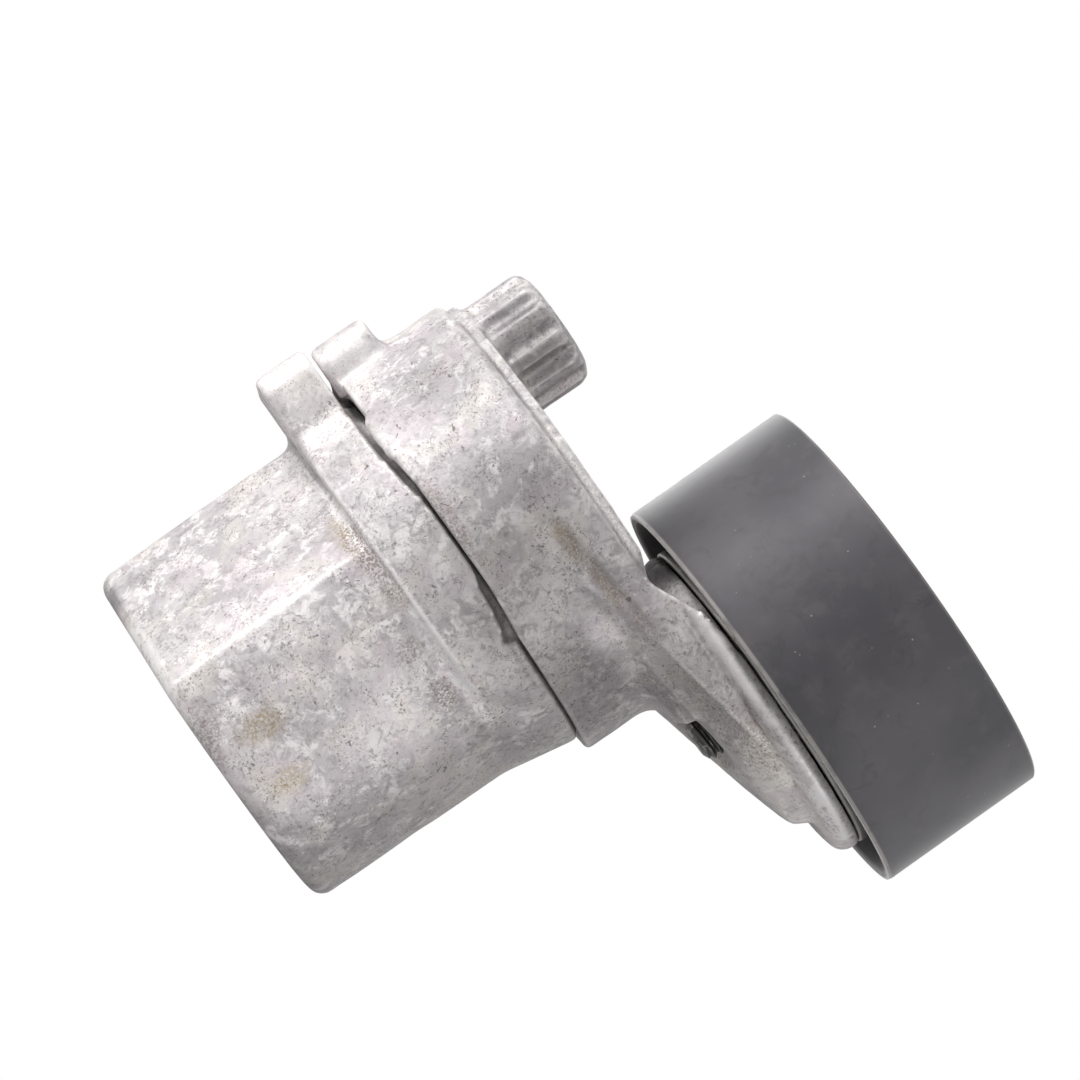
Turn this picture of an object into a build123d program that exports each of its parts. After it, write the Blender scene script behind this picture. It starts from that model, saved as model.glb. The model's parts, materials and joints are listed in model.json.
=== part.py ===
from build123d import *
import math
import os

# Rotary belt tensioner with a smooth idler pulley. Millimetres.
# The origin is on the pivot axis, in the rear mounting face. +Z runs along the
# pivot axis to the front, and +X runs from the pivot to the pulley at free arm.

# ---- driving dimensions: base housing ----
BODY_RADIUS = 30.2            # at the rear face
BODY_DRAFT = 0.7              # degrees, the body widens to the front
RIDGE_ANGLE = 109.0           # from +X to each ridge, where the round body turns flat
ROOF_ROUND = 2.5              # rounding where the two flats meet
RIDGE_ROUND = 0.6
REAR_EDGE_ROUND = 2.6
FLOOR = 6.5
CAVITY_RADIUS = 22.3
FLANGE_RADIUS = 32.8
FLANGE_REAR = 37.7
FLANGE_FRONT = 46.8
FLANGE_TOP = 48.25            # the raised land in the flange's front edge
FLARE_REAR = 35.0
EAR_REACH = 41.1
EAR_WIDTH = 31.4
EAR_ROUND = 4.0
EAR_EDGE_ROUND = 1.0
# The flange's front edge as (X, Z) on the -Y side and on the +Y side.
FLANGE_EDGE = ((-21.5, 46.8), (-16.0, 47.3), (-12.6, 47.7), (-11.2, 48.25), (1.5, 48.25),
               (3.6, 47.9), (4.7, 47.45), (8.3, 47.2), (11.5, 46.7), (14.0, 45.8),
               (14.3, 47.7))
FLANGE_FAR_EDGE = ((-12.0, 46.8), (-8.0, 45.9), (14.0, 45.9), (14.3, 47.7))
GUARD_RADIUS = 31.2           # ring inside the arm's cup that closes the gap to the spring
GUARD_FRONT = 48.7
COLLAR_RADIUS = 26.0
COLLAR_FRONT = 60.0
BASE_HUB_RADIUS = 12.5
BASE_HUB_FRONT = 13.0
LOCATING_HOLE_RADIUS = 3.0
LOCATING_HOLE_DEPTH = 5.0
LOCATING_HOLE_X = 22.0
LOCK_HOLE_RADIUS = 1.6
LOCK_HOLE_DISTANCE = 37.0     # from the pivot axis
EAR_LOCK_ANGLE = 192.0
LUG_LOCK_ANGLE = 174.0

# ---- driving dimensions: pivot ----
SHAFT_RADIUS = 8.5
SHAFT_BORE_RADIUS = 5.25
SHAFT_FOOT_RADIUS = 11.0
SHAFT_FOOT = 1.5
SHAFT_SHOULDER = 65.05
SHAFT_NECK_RADIUS = 7.2
SHAFT_END = 69.0
SWAGE_RADIUS = 8.6
FRONT_PLATE_RADIUS = 16.3
FRONT_PLATE_FRONT = 68.05
RUNNING_GAP = 0.03
BUSH_RADIUS = 10.6
BUSH_FLANGE_RADIUS = 15.5
BUSH_FLANGE = 1.5
REAR_BUSH = (14.5, 32.0)
FRONT_BUSH_REAR = 42.0

# ---- driving dimensions: spring and damper ----
WIRE_RADIUS = 2.3
SPRING_RADIUS = 17.9
SPRING_TURNS = 8
SPRING_END_GAP = 0.05
STOP_BLOCK = (15.2, 21.0)     # inner and outer radius of each spring stop
STOP_BLOCK_ANGLES = (2.0, 14.0)
SLEEVE_RADIUS = 14.7
SLEEVE_SPAN = (16.0, 58.0)
LINING_RADIUS = 28.6
LINING_GAP = 0.05
BAND_RADIUS = 29.6
DAMPER_SPAN = (53.2, 59.6)
DAMPER_OPENING = 24.0         # degrees left open for the arm's driving rib
DAMPER_KEY = 20.0
DAMPER_KEY_RADIUS = 27.2
DAMPER_ANGLE = 60.0

# ---- driving dimensions: arm ----
CUP_RADIUS = 35.2
CUP_INNER_RADIUS = 31.5
CUP_REAR = 45.0
CUP_RIM_REAR = 48.6           # inside the skirt, clear of the flange's raised land
SKIRT_RADIUS = 33.1           # the skirt outside this hangs past the flange
# The skirt's rear edge as (X, Z) on the -Y side and on the +Y side.
SKIRT_EDGE = ((-26.5, 48.6), (-25.2, 47.6), (-19.3, 47.6), (-18.0, 48.1), (-13.0, 48.6),
              (5.0, 48.7), (9.9, 48.35), (14.0, 48.0), (31.0, 47.9))
SKIRT_FAR_EDGE = ((12.0, 48.6), (14.0, 48.0), (31.0, 47.9))
CUP_CEILING = 62.0
CUP_SHOULDER = 68.9
CUP_SHOULDER_ROUND = 1.4
BAND_OUTER = 33.7
BAND_INNER = 28.5
CUP_FRONT = 70.5
ARM_LENGTH = 44.1
ARM_HUB_RADIUS = 13.2
ARM_HUB_REAR = 14.0
ARM_BOSS_RADIUS = 20.8
ARM_BOSS_REAR = 58.9
RECESS_RADIUS = 17.0
RECESS_FLOOR = 62.5
LUG_REACH = 40.2
LUG_WIDTH = 24.0
LUG_SPAN = (47.4, 57.3)
LUG_EDGE_ROUND = 1.0
# Each plane of the gusset is (Z at X = 0, rise per millimetre of X), and each outline is
# (radius on the pivot axis, radius on the pulley axis).
CREST_PLANE = (52.1, 0.24)    # the flat top of the crown, at the rear
CROWN_PLANE = (58.4, 0.13)    # where the crown meets the flanks
RIDGE_PLANE = (59.4, 0.20)    # where the flanks are widest
CROWN_HEIGHT = 6.0
CROWN_OUTLINE = (19.0, 7.0)
FLANK_OUTLINE = (30.5, 19.3)
RIDGE_OUTLINE = (35.2, 23.6)
ROOT_CORNER = (38.5, 61.4)    # X and Z where the crest leaves the cup
GUSSET_START_X = 4.0
PLATE_OUTLINE = (31.5, 27.5)
PLATE_START_X = 18.0
NOTCH_START_X = 14.2
NOTCH_EDGE = ((14.2, 70.5), (18.6, 68.9), (21.0, 69.8), (24.0, 71.3), (27.2, 72.8),
              (31.1, 73.6), (37.0, 74.2))
DISC_RADIUS = 27.5
DISC_REAR = 70.5
DISC_FRONT = 74.1
DISC_ROUND = 2.6
SEAT_RADIUS = 12.0
SEAT_FRONT = 81.8
SPOTFACE_RADIUS = 5.5
SPOTFACE_FLOOR = 65.6
SLOT_START_X, SLOT_END_X = 40.2, 50.4   # open at the -Y side, round the bolt's end
SLOT_FLOOR = (58.9, 0.13)
WRENCH_X, WRENCH_Y = -21.9, -10.5
WRENCH_RADIUS = 10.05
WRENCH_FRONT = 81.6
FLUTE_COUNT = 12
FLUTE_RADIUS = 1.8
FLUTE_DEPTH = 1.0

# ---- driving dimensions: travel stops ----
TRAVEL = 55.0
STOP_CLEARANCE = 0.6          # degrees left at each end of the travel
STOP_ANGLE = 150.0
STOP_HALF_WIDTH = 8.0
STOP_RIB = 14.0
BASE_STOP_RADIUS = 29.5
ARM_STOP_RADIUS = 28.0
STOP_FRONT = 52.4
STOP_REAR = 49.0

# ---- driving dimensions: pulley and bearing ----
PULLEY_RADIUS = 35.0
PULLEY_WALL = 1.7
PULLEY_REAR = 74.5
PULLEY_FRONT = 102.5
BEARING_BORE = 8.5
BEARING_RADIUS = 20.0
BEARING_REAR = 82.8
BEARING_WIDTH = 12.0
INNER_RACE_RADIUS = 11.6
OUTER_RACE_RADIUS = 16.9
BALL_RADIUS = 3.375
BALL_PITCH_RADIUS = 14.25
BALL_COUNT = 8
BALL_GAP = 0.02
SEAL_INSET = 0.3
SEAL_THICKNESS = 0.8
SEAT_WALL = 1.7
BOLT_RADIUS = 4.0
BOLT_CORE_RADIUS = 3.3
BOLT_TIP = 62.3
BOLT_FLANGE_RADIUS = 8.5
BOLT_HEX_AF = 13.0

# ---- worked out from the above ----
SPRING_REAR = FLOOR + WIRE_RADIUS + SPRING_END_GAP
SPRING_FRONT = ARM_BOSS_REAR - WIRE_RADIUS - SPRING_END_GAP
BEARING_FRONT = BEARING_REAR + BEARING_WIDTH
BALL_Z = BEARING_REAR + BEARING_WIDTH / 2
SPACER_FRONT = BEARING_FRONT + 1.2
FRONT_SHIELD_FRONT = SPACER_FRONT + 0.8

BOTTOM = (Align.CENTER, Align.CENTER, Align.MIN)
REACH = 80.0                  # farther out than any surface of the part


# ---- helpers ----
def rod(radius, low, high):
    """Solid cylinder on the pivot axis from Z low to Z high."""
    return Pos(0, 0, low) * Cylinder(radius, high - low, align=BOTTOM)


def ring(outer, inner, low, high):
    """Plain ring on the pivot axis."""
    return rod(outer, low, high) - rod(inner, low - 1, high + 1)


def sector(outer, inner, low, high, start, end):
    """Part of a ring between two angles, in degrees from +X."""
    def point(radius, angle):
        turn = math.radians(angle)
        return (radius * math.cos(turn), radius * math.sin(turn))

    outline = (
        CenterArc((0, 0), outer, start, end - start)
        + Line(point(outer, end), point(inner, end))
        + CenterArc((0, 0), inner, end, start - end)
        + Line(point(inner, start), point(outer, start))
    )
    return Pos(0, 0, low) * extrude(make_face(outline), high - low)


def turned(points):
    """Solid of revolution about the pivot axis from (radius, z) corners."""
    profile = make_face(Polyline(*[(r, 0, z) for r, z in points], close=True))
    return revolve(profile, Axis.Z)


def at_pulley(shape):
    """Moves a shape from the pivot axis to the pulley axis."""
    return Pos(ARM_LENGTH, 0, 0) * shape


def hull_outline(radius_a, radius_b):
    """Belt-like outline round a circle on the pivot and a circle on the pulley axis."""
    lean = math.asin((radius_a - radius_b) / ARM_LENGTH)
    ca, sa = math.cos(lean), math.sin(lean)
    a_up, a_down = (radius_a * sa, radius_a * ca), (radius_a * sa, -radius_a * ca)
    b_up = (ARM_LENGTH + radius_b * sa, radius_b * ca)
    b_down = (ARM_LENGTH + radius_b * sa, -radius_b * ca)
    outline = (
        ThreePointArc(a_up, (-radius_a, 0), a_down)
        + Line(a_down, b_down)
        + ThreePointArc(b_down, (ARM_LENGTH + radius_b, 0), b_up)
        + Line(b_up, a_up)
    )
    return make_face(outline)


def in_front_of(x):
    """Everything beyond x towards the pulley."""
    return Pos(x, 0, 0) * Box(200, 200, 400, align=(Align.MIN, Align.CENTER, Align.CENTER))


def beside(profile, side, level):
    """Everything between an (X, Z) edge line and a level, on the side of Y given as 1 or -1."""
    first, last = profile[0], profile[-1]
    line = [(-REACH, first[1]), *profile, (REACH, last[1]), (REACH, level), (-REACH, level)]
    return extrude(Plane.XZ * make_face(Polyline(*line, close=True)), -side * REACH)


def tilted(plane, outline):
    """The pulley's side of a belt-like outline, laid in a plane that rises along X."""
    height, rise = plane
    length = math.hypot(1, rise)
    face = hull_outline(*outline) & (Pos(REACH, 0) * Rectangle(2 * REACH, 2 * REACH))
    return Plane(origin=(0, 0, height), x_dir=(1 / length, 0, rise / length),
                 z_dir=(-rise / length, 0, 1 / length)) * face


def in_front_of_plane(plane):
    """Everything on the +Z side of a plane that rises along X."""
    height, rise = plane
    line = Polyline((-REACH, height - REACH * rise), (REACH, height + REACH * rise),
                    (REACH, 2 * REACH), (-REACH, 2 * REACH), close=True)
    return extrude(Plane.XZ * make_face(line), REACH, both=True)


# ---- base body ----
def body_outline():
    """Round at the front and sides, with two flats that meet under the ear."""
    turn = math.radians(RIDGE_ANGLE)
    ridge = (BODY_RADIUS * math.cos(turn), BODY_RADIUS * math.sin(turn))
    outline = CenterArc((0, 0), BODY_RADIUS, -RIDGE_ANGLE, 2 * RIDGE_ANGLE) + Polyline(
        ridge, (-BODY_RADIUS - 0.4, 0), (ridge[0], -ridge[1])
    )
    face = make_face(outline)
    corners = face.vertices().sort_by(Axis.X)
    face = fillet(corners[0], ROOF_ROUND)
    return fillet(face.vertices().filter_by(lambda v: abs(v.Y) > 20), RIDGE_ROUND)


def base_ear():
    """Wide ear on the side away from the pulley, with rounded edges."""
    ear = Pos(-EAR_REACH / 2, 0) * Rectangle(EAR_REACH, EAR_WIDTH)
    ear = fillet(ear.vertices().group_by(Axis.X)[0], EAR_ROUND)
    face = Circle(FLANGE_RADIUS) + ear
    inner_corners = face.vertices().filter_by(
        lambda v: abs(abs(v.Y) - EAR_WIDTH / 2) < 0.01 and v.X > -EAR_REACH + EAR_ROUND + 1
    )
    face = fillet(inner_corners, EAR_ROUND)
    plate = Pos(0, 0, FLANGE_REAR) * extrude(face, FLANGE_FRONT - FLANGE_REAR)
    outer_edges = plate.edges().filter_by(
        lambda e: (e @ 0.5).X < -FLANGE_RADIUS and e.length > 1 and abs((e % 0.5).Z) < 0.1
    )
    return fillet(outer_edges, EAR_EDGE_ROUND)


def base_housing():
    shell = extrude(body_outline(), FLANGE_REAR + 2, taper=-BODY_DRAFT)
    shell = fillet(shell.edges().group_by(Axis.Z)[0], REAR_EDGE_ROUND)

    flange = base_ear() + rod(FLANGE_RADIUS, FLANGE_REAR, FLANGE_TOP)
    # The flange's rear step fades out towards the pulley side, where a flare carries on.
    fade = Polyline((17, FLANGE_REAR - 1), (REACH, FLANGE_REAR - 1), (REACH, FLANGE_TOP + 1),
                    (27, FLANGE_TOP + 1), close=True)
    wedge = extrude(Plane.XZ * make_face(fade), REACH, both=True)
    flare = Pos(0, 0, FLARE_REAR) * Cone(
        BODY_RADIUS + 0.4, FLANGE_RADIUS, FLANGE_FRONT - FLARE_REAR, align=BOTTOM
    )
    flare += rod(FLANGE_RADIUS, FLANGE_FRONT, FLANGE_TOP)
    shell += (flange - wedge) + (flare & in_front_of(0))
    shell -= beside(FLANGE_EDGE, -1, REACH) + beside(FLANGE_FAR_EDGE, 1, REACH)

    shell += rod(GUARD_RADIUS, FLANGE_REAR, GUARD_FRONT)
    shell += rod(COLLAR_RADIUS, FLANGE_REAR, COLLAR_FRONT)
    shell += sector(BASE_STOP_RADIUS, COLLAR_RADIUS - 1, FLANGE_FRONT - 3, STOP_FRONT,
                    STOP_ANGLE - STOP_HALF_WIDTH, STOP_ANGLE + STOP_HALF_WIDTH)
    shell -= rod(CAVITY_RADIUS, FLOOR, COLLAR_FRONT + 1)
    shell += rod(BASE_HUB_RADIUS, FLOOR - 1, BASE_HUB_FRONT)
    shell += sector(*reversed(STOP_BLOCK), FLOOR - 1, FLOOR + 4, *STOP_BLOCK_ANGLES)
    shell -= rod(SHAFT_RADIUS, -1, BASE_HUB_FRONT + 1)
    shell -= rod(SHAFT_FOOT_RADIUS, -1, SHAFT_FOOT)
    shell -= Pos(LOCATING_HOLE_X, 0, 0) * rod(LOCATING_HOLE_RADIUS, -1, LOCATING_HOLE_DEPTH)
    shell -= lock_hole(EAR_LOCK_ANGLE)
    return shell


def lock_hole(angle):
    return Rot(0, 0, angle) * Pos(LOCK_HOLE_DISTANCE, 0, 0) * rod(LOCK_HOLE_RADIUS, 30, 65)


def pivot_shaft():
    """Hollow pivot pin, swaged over the front plate, that the mounting screw passes through."""
    shaft = turned([
        (SHAFT_BORE_RADIUS, 0), (SHAFT_FOOT_RADIUS, 0), (SHAFT_FOOT_RADIUS, SHAFT_FOOT),
        (SHAFT_RADIUS, SHAFT_FOOT), (SHAFT_RADIUS, SHAFT_SHOULDER),
        (SHAFT_NECK_RADIUS, SHAFT_SHOULDER), (SHAFT_NECK_RADIUS, FRONT_PLATE_FRONT),
        (SWAGE_RADIUS, FRONT_PLATE_FRONT), (SWAGE_RADIUS - 0.6, SHAFT_END),
        (SHAFT_BORE_RADIUS, SHAFT_END),
    ])
    return shaft


def front_plate():
    """Steel plate that holds the arm on the pivot."""
    plate = ring(FRONT_PLATE_RADIUS, SHAFT_NECK_RADIUS, SHAFT_SHOULDER, FRONT_PLATE_FRONT)
    return chamfer(plate.edges().group_by(Axis.Z)[-1].sort_by(SortBy.LENGTH)[-1], 0.6)


def torsion_spring():
    height = SPRING_FRONT - SPRING_REAR
    path = Helix(height / SPRING_TURNS, height, SPRING_RADIUS, lefthand=True)
    section = Plane(origin=path @ 0, z_dir=path % 0) * Circle(WIRE_RADIUS)
    return Pos(0, 0, SPRING_REAR) * sweep(section, path=path, is_frenet=True)


# ---- arm body ----
def arm_gusset():
    """Tapered beam behind the pulley seat: a crown, drafted flanks and a ridge at the widest."""
    crown_top = (CROWN_PLANE[0] - CROWN_HEIGHT, CROWN_PLANE[1])
    crown = loft([tilted(crown_top, CROWN_OUTLINE), tilted(CROWN_PLANE, FLANK_OUTLINE)], ruled=True)
    flank = loft([tilted(CROWN_PLANE, FLANK_OUTLINE), tilted(RIDGE_PLANE, RIDGE_OUTLINE)], ruled=True)
    front = Pos(0, 0, CUP_REAR) * extrude(hull_outline(*RIDGE_OUTLINE), DISC_REAR + 1 - CUP_REAR)
    crest = in_front_of_plane(CREST_PLANE)
    gusset = (crown & crest) + (flank & crest)
    gusset += front & in_front_of_plane(RIDGE_PLANE)
    gusset = (gusset + root_fillet()) & in_front_of(GUSSET_START_X) & rod(REACH, 0, DISC_FRONT)
    over_shoulder = rod(REACH, CUP_SHOULDER, DISC_FRONT + 1) - in_front_of(PLATE_START_X)
    return gusset - over_shoulder - front_notch()


def root_fillet():
    """Fills the corner between the cup's side and the gusset's crest."""
    corner = CREST_PLANE[0] + CREST_PLANE[1] * CUP_RADIUS
    start, end = (CUP_RADIUS, 0, corner - 3.4), (ROOT_CORNER[0] + 0.6, 0, ROOT_CORNER[1] + 0.3)
    middle = (CUP_RADIUS + 0.9, 0, corner - 0.6)
    back_low, back_high = (CUP_RADIUS - 1, 0, start[2]), (CUP_RADIUS - 1, 0, end[2])
    profile = ThreePointArc(start, middle, end) + Polyline(end, back_high, back_low, start)
    band = revolve(make_face(profile), Axis.Z)
    plan = Pos(0, 0, CUP_REAR) * extrude(hull_outline(24, 12), DISC_REAR - CUP_REAR)
    return band & plan


def pulley_disc():
    """Round flange of the arm that carries the pulley, rounded at the rear."""
    disc = rod(DISC_RADIUS, DISC_REAR, DISC_FRONT)
    return at_pulley(fillet(disc.edges().group_by(Axis.Z)[0], DISC_ROUND))


def beam_plate():
    """Front plate of the beam, which dips beside the cup and ramps up to the disc."""
    plate = Pos(0, 0, DISC_REAR) * extrude(hull_outline(*PLATE_OUTLINE), DISC_FRONT - DISC_REAR)
    plate = fillet(plate.edges().group_by(Axis.Z)[0], DISC_ROUND)
    return (plate & in_front_of(PLATE_START_X)) - front_notch()


def front_notch():
    """Cutter that ends the cup's front band and ramps up to the disc."""
    notch = beside(NOTCH_EDGE, 1, 2 * REACH) + beside(NOTCH_EDGE, -1, 2 * REACH)
    return notch & in_front_of(NOTCH_START_X)


def bolt_slot():
    """Clearance round the bolt's end, open at one flank."""
    slot = Box(SLOT_END_X - SLOT_START_X, REACH, REACH, align=(Align.MIN, Align.MAX, Align.MIN))
    slot = Pos(SLOT_START_X, SPOTFACE_RADIUS, 0) * slot
    return slot - in_front_of_plane(SLOT_FLOOR)


def wrench_boss():
    """Twelve-fluted boss for turning the arm against its spring."""
    outline = Circle(WRENCH_RADIUS)
    for i in range(FLUTE_COUNT):
        turn = 2 * math.pi * i / FLUTE_COUNT
        reach = WRENCH_RADIUS + FLUTE_RADIUS - FLUTE_DEPTH
        outline -= Pos(reach * math.cos(turn), reach * math.sin(turn)) * Circle(FLUTE_RADIUS)
    boss = Pos(0, 0, CUP_SHOULDER - 1) * extrude(outline, WRENCH_FRONT - CUP_SHOULDER + 1)
    domed = turned([(0, 60), (WRENCH_RADIUS + 0.1, 60), (WRENCH_RADIUS + 0.1, WRENCH_FRONT - 2.2),
                    (WRENCH_RADIUS - 0.6, WRENCH_FRONT - 0.8), (WRENCH_RADIUS - 2.2, WRENCH_FRONT),
                    (0, WRENCH_FRONT)])
    plinth = Pos(0, 0, CUP_SHOULDER - 2) * Cone(11.0, 10.1, 3.8, align=BOTTOM)
    fairing = Pos(0, 0, 58.5) * Cone(9.9, 11.5, CUP_SHOULDER - 59.5, align=BOTTOM)
    return Pos(WRENCH_X, WRENCH_Y, 0) * ((boss & domed) + plinth + fairing)


def arm_lug():
    """Lug in front of the base's ear, for the lock pin."""
    low, high = LUG_SPAN
    plan = Pos(-LUG_REACH / 2, 0) * Rectangle(LUG_REACH, LUG_WIDTH)
    plan = fillet(plan.vertices().group_by(Axis.X)[0], EAR_ROUND)
    lug = Pos(0, 0, low) * extrude(plan, high - low)
    outer_edges = lug.edges().filter_by(
        lambda e: (e @ 0.5).X < -1 and abs((e % 0.5).Z) < 0.1
    )
    return fillet(outer_edges, LUG_EDGE_ROUND) - rod(SKIRT_RADIUS, low - 1, CUP_RIM_REAR)


def tension_arm():
    cup = rod(CUP_RADIUS, CUP_REAR, CUP_SHOULDER)
    cup = fillet(cup.edges().group_by(Axis.Z)[-1], CUP_SHOULDER_ROUND)
    cup += ring(BAND_OUTER, BAND_INNER, CUP_SHOULDER - 2, CUP_FRONT)
    cup -= beside(SKIRT_EDGE, -1, 0) + beside(SKIRT_FAR_EDGE, 1, 0)
    cup -= rod(SKIRT_RADIUS, 0, CUP_RIM_REAR)
    arm = cup - front_notch() + beam_plate() + arm_gusset() + arm_lug() + wrench_boss()
    arm += pulley_disc() + at_pulley(rod(SEAT_RADIUS, DISC_FRONT - 1, SEAT_FRONT))

    arm -= rod(CUP_INNER_RADIUS, CUP_REAR - 1, CUP_CEILING)
    arm -= bolt_slot()
    arm += rod(ARM_BOSS_RADIUS, ARM_BOSS_REAR, RECESS_FLOOR)
    arm += rod(ARM_HUB_RADIUS, ARM_HUB_REAR, RECESS_FLOOR)
    arm -= rod(RECESS_RADIUS, RECESS_FLOOR, CUP_FRONT + 1)
    arm -= rod(BUSH_RADIUS, ARM_HUB_REAR - 1, RECESS_FLOOR + 1)
    arm += sector(*reversed(STOP_BLOCK), ARM_BOSS_REAR - 4.4, ARM_BOSS_REAR + 0.5,
                  -STOP_BLOCK_ANGLES[1], -STOP_BLOCK_ANGLES[0])
    arm += damper_key()
    for start in stop_rib_starts():
        arm += sector(CUP_INNER_RADIUS + 1, ARM_STOP_RADIUS, STOP_REAR, STOP_FRONT,
                      start, start + STOP_RIB)

    arm -= at_pulley(rod(BOLT_RADIUS, 50, SEAT_FRONT + 1))
    arm -= at_pulley(rod(SPOTFACE_RADIUS, 50, SPOTFACE_FLOOR))
    arm -= lock_hole(LUG_LOCK_ANGLE) & rod(60, LUG_SPAN[0] - 1, LUG_SPAN[1] + 1)
    return arm


def damper_key():
    """Rib inside the cup that drives the damper through its opening."""
    return sector(CUP_INNER_RADIUS + 1, DAMPER_KEY_RADIUS, DAMPER_SPAN[0], CUP_CEILING + 0.5,
                  DAMPER_ANGLE - DAMPER_KEY / 2, DAMPER_ANGLE + DAMPER_KEY / 2)


def stop_rib_starts():
    """Angles where the free-arm rib and the load rib start, at free arm."""
    free = STOP_ANGLE + STOP_HALF_WIDTH + STOP_CLEARANCE
    load = STOP_ANGLE - STOP_HALF_WIDTH - STOP_CLEARANCE - TRAVEL - STOP_RIB
    return free, load


def rear_bushing():
    return ring(BUSH_RADIUS, SHAFT_RADIUS + RUNNING_GAP, *REAR_BUSH)


def front_bushing():
    bush = ring(BUSH_RADIUS, SHAFT_RADIUS + RUNNING_GAP, FRONT_BUSH_REAR, RECESS_FLOOR)
    return bush + ring(BUSH_FLANGE_RADIUS, SHAFT_RADIUS + RUNNING_GAP, RECESS_FLOOR,
                       RECESS_FLOOR + BUSH_FLANGE)


def thrust_washer():
    return ring(BUSH_FLANGE_RADIUS, SHAFT_RADIUS + 0.05, RECESS_FLOOR + BUSH_FLANGE,
                SHAFT_SHOULDER - 0.03)


def spring_sleeve():
    """Split polymer sleeve that keeps the coils off the arm's hub."""
    return sector(SLEEVE_RADIUS, ARM_HUB_RADIUS, *SLEEVE_SPAN, 4, 356)


def damper_ring(outer, inner):
    start = DAMPER_ANGLE + DAMPER_OPENING / 2
    return sector(outer, inner, *DAMPER_SPAN, start, start + 360 - DAMPER_OPENING)


# ---- pulley seat, bearing and pulley ----
def rear_shield():
    """Dished steel shield between the arm's seat and the bearing."""
    return at_pulley(turned([
        (BOLT_RADIUS + 0.1, 81.8), (12.2, 81.8), (17, 79.6), (25.4, 75.8), (26.5, 74.4),
        (DISC_RADIUS, 74.4), (DISC_RADIUS, 76.0), (26.0, 76.9), (17.5, 80.7), (12.6, 82.8),
        (BOLT_RADIUS + 0.1, 82.8),
    ]))


def ball_groove():
    return Pos(0, 0, BALL_Z) * Torus(BALL_PITCH_RADIUS, BALL_RADIUS + BALL_GAP)


def race(outer, inner):
    """Plain bearing ring with its ball groove."""
    body = ring(outer, inner, BEARING_REAR, BEARING_FRONT)
    rims = body.edges().filter_by(GeomType.CIRCLE)
    body = chamfer(rims, 0.4)
    return at_pulley(body - ball_groove())


def ball_angles():
    step = 360 / BALL_COUNT
    return [step * (i + 0.5) for i in range(BALL_COUNT)]


def bearing_balls():
    ball = Pos(BALL_PITCH_RADIUS, 0, BALL_Z) * Sphere(BALL_RADIUS)
    return at_pulley(Compound(children=[Rot(0, 0, turn) * ball for turn in ball_angles()]))


def bearing_cage():
    """Ring between the races with a round pocket for each ball."""
    cage = ring(BALL_PITCH_RADIUS + 0.9, BALL_PITCH_RADIUS - 0.9, BALL_Z - 4.3, BALL_Z + 4.3)
    pocket = Pos(BALL_PITCH_RADIUS, 0, BALL_Z) * Rot(0, 90, 0) * Cylinder(BALL_RADIUS + 0.1, 6)
    for turn in ball_angles():
        cage -= Rot(0, 0, turn) * pocket
    return at_pulley(cage)


def bearing_seal(low):
    return at_pulley(ring(OUTER_RACE_RADIUS, INNER_RACE_RADIUS + 0.06, low, low + SEAL_THICKNESS))


def pulley_shell():
    """Pressed drum, web and bearing seat."""
    seat = BEARING_RADIUS + SEAT_WALL
    drum_inner = PULLEY_RADIUS - PULLEY_WALL
    web_rear, web_front = BALL_Z + 0.8, BALL_Z + 2.6
    bend = 2.0
    groove_low, groove_high = BEARING_FRONT + 0.1, BEARING_FRONT + 1.3
    shell = turned([
        (PULLEY_RADIUS - 0.5, PULLEY_REAR), (PULLEY_RADIUS, PULLEY_REAR + 0.5),
        (PULLEY_RADIUS, PULLEY_FRONT - 0.3), (PULLEY_RADIUS - 0.3, PULLEY_FRONT),
        (drum_inner, PULLEY_FRONT), (drum_inner, web_front + bend),
        (drum_inner - bend, web_front), (seat + bend, web_front), (seat, web_front + bend),
        (seat, BEARING_FRONT + 2.4), (BEARING_RADIUS, BEARING_FRONT + 2.4),
        (BEARING_RADIUS, groove_high), (BEARING_RADIUS + 0.9, groove_high),
        (BEARING_RADIUS + 0.9, groove_low), (BEARING_RADIUS, groove_low),
        (BEARING_RADIUS, BEARING_REAR), (BEARING_RADIUS - 1.4, BEARING_REAR),
        (BEARING_RADIUS - 1.4, BEARING_REAR - 0.9), (seat - 0.5, BEARING_REAR - 0.9),
        (seat, BEARING_REAR - 0.4), (seat, web_rear - bend), (seat + bend, web_rear),
        (drum_inner - bend, web_rear), (drum_inner, web_rear - bend), (drum_inner, PULLEY_REAR),
    ])
    return at_pulley(shell)


def retaining_ring():
    """Open snap ring that keeps the bearing in the pulley."""
    low = BEARING_FRONT + 0.15
    snap = sector(BEARING_RADIUS + 0.85, BEARING_RADIUS - 1.5, low, low + 1.1, 12, 348)
    for angle in (17, -17):
        lug = Rot(0, 0, angle) * Pos(BEARING_RADIUS - 1.9, 0, 0) * rod(1.6, low, low + 1.1)
        eye = Rot(0, 0, angle) * Pos(BEARING_RADIUS - 1.9, 0, 0) * rod(0.75, low - 1, low + 3)
        snap = snap + lug - eye
    return at_pulley(snap)


def bearing_spacer():
    """Sleeve with a collar that centres the bearing on the bolt."""
    return at_pulley(
        ring(BEARING_BORE - 0.02, BOLT_RADIUS + 0.1, BEARING_REAR, BEARING_FRONT)
        + ring(10.8, BOLT_RADIUS + 0.1, BEARING_FRONT, SPACER_FRONT)
    )


def front_shield():
    """Thin steel washer that covers the bearing's front."""
    disc = ring(15.4, BOLT_RADIUS + 0.1, SPACER_FRONT, FRONT_SHIELD_FRONT)
    return at_pulley(fillet(disc.edges().group_by(Axis.Z)[-1].sort_by(SortBy.LENGTH)[-1], 0.6))


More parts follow.
